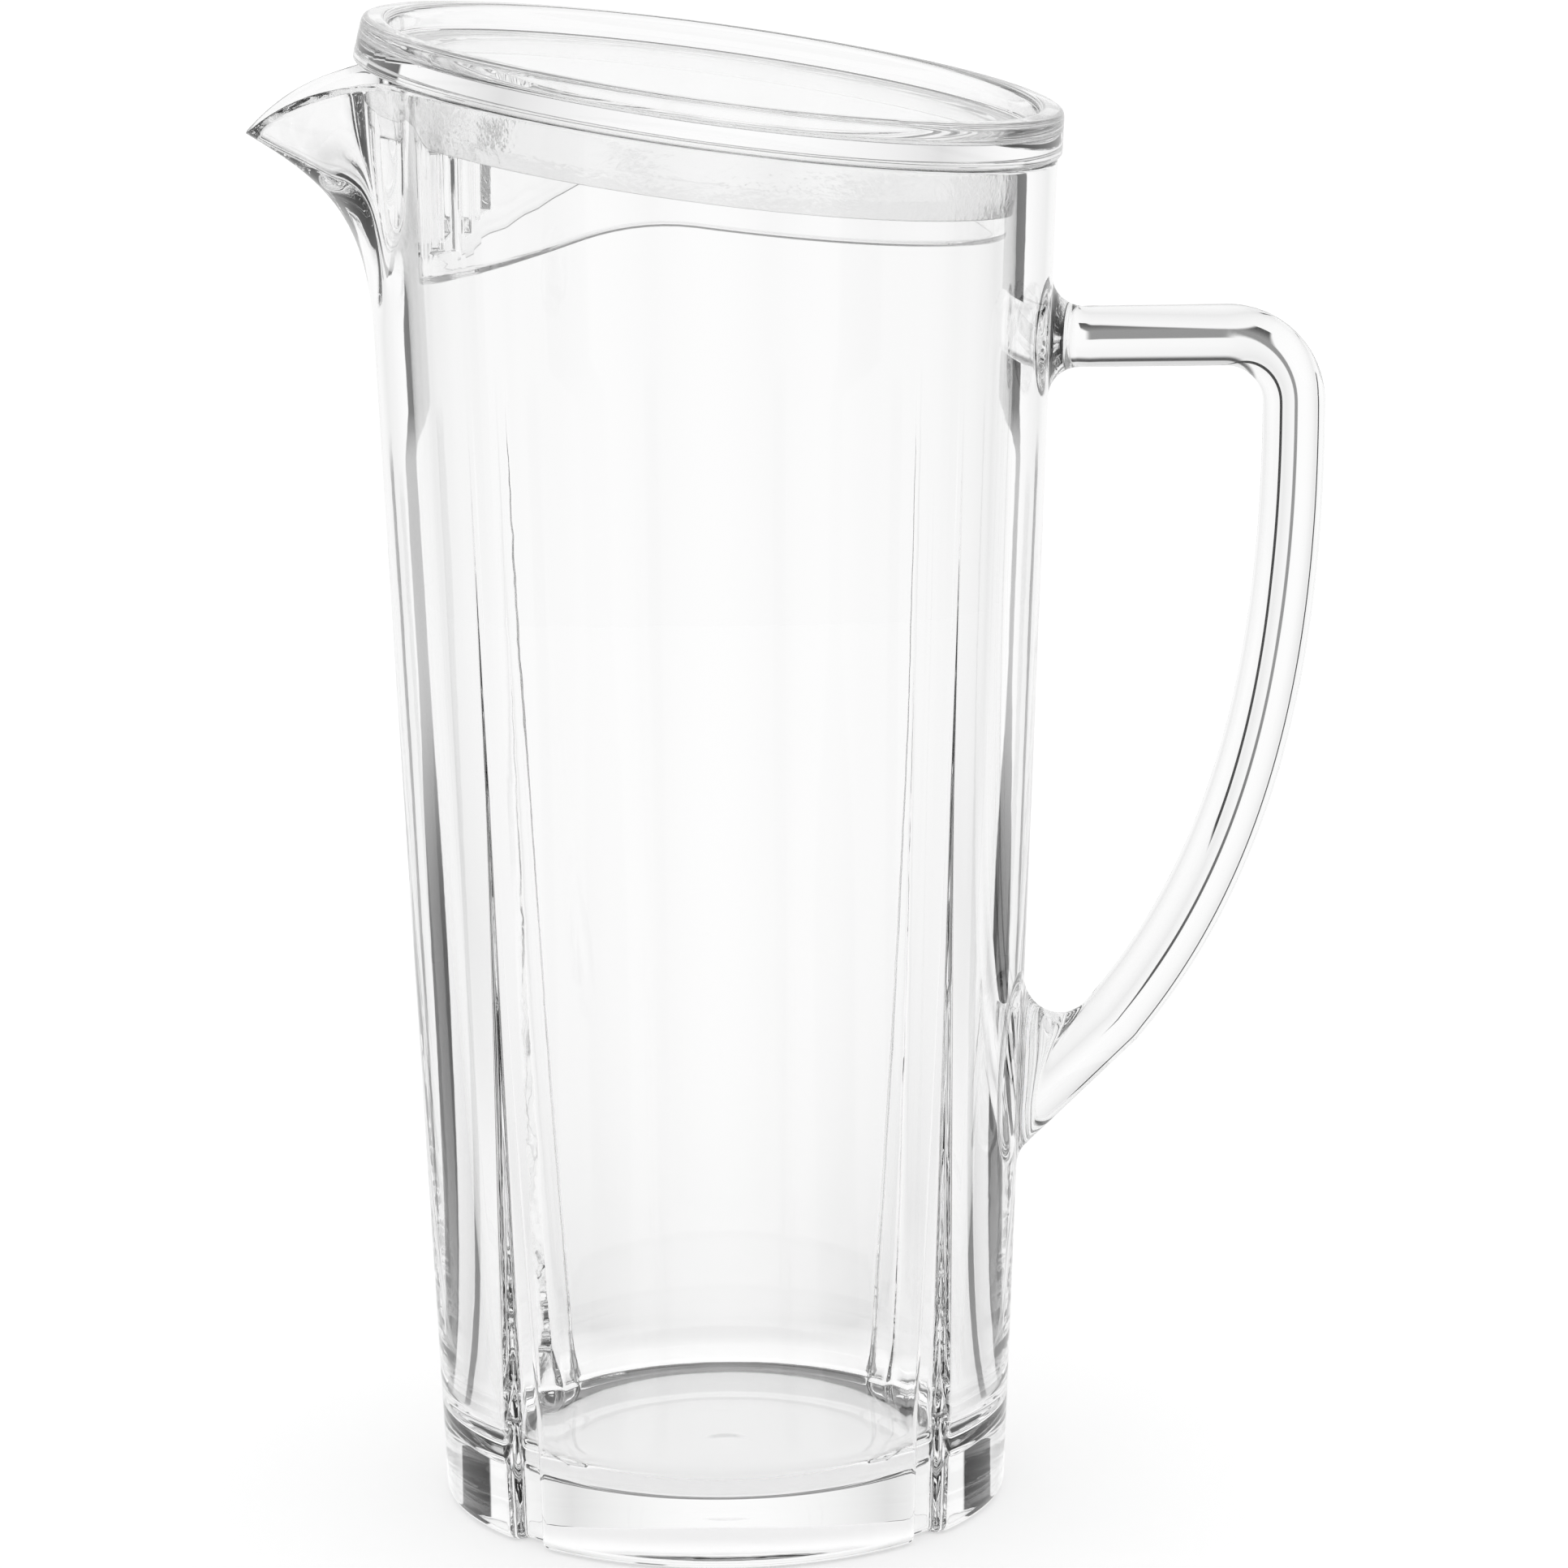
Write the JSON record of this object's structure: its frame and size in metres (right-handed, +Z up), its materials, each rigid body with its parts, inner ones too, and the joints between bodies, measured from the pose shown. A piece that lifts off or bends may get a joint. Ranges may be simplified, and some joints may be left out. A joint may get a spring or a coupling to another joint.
{
  "type": "lidded pitcher",
  "caption": "Tall clear pitcher with grooved tapering body, beak spout, bent rod handle and a lift-off slanted lid with strainer skirt and soft seal.",
  "frame": {"origin": "centre of the foot's flat underside, on the table", "axes": "+Z up along the body's axis, +X towards the handle, -X towards the spout, +Y to the left when facing along +X"},
  "size_m": [0.1903, 0.126, 0.2699],
  "materials": {
    "jug_glass": "clear polished",
    "lid_clear": "clear polished moulding",
    "seal_silicone": "milky satin silicone"
  },
  "bodies": {
    "jug": {"jug_body": "jug_glass", "handle": "jug_glass"},
    "lid": {"lid": "lid_clear", "seal_ring": "seal_silicone"}
  },
  "joints": [
    {"name": "lid_lift", "type": "slide", "parent": "jug", "child": "lid", "axis": [0, 0, 1], "range_m": [0, 0.06]}
  ]
}
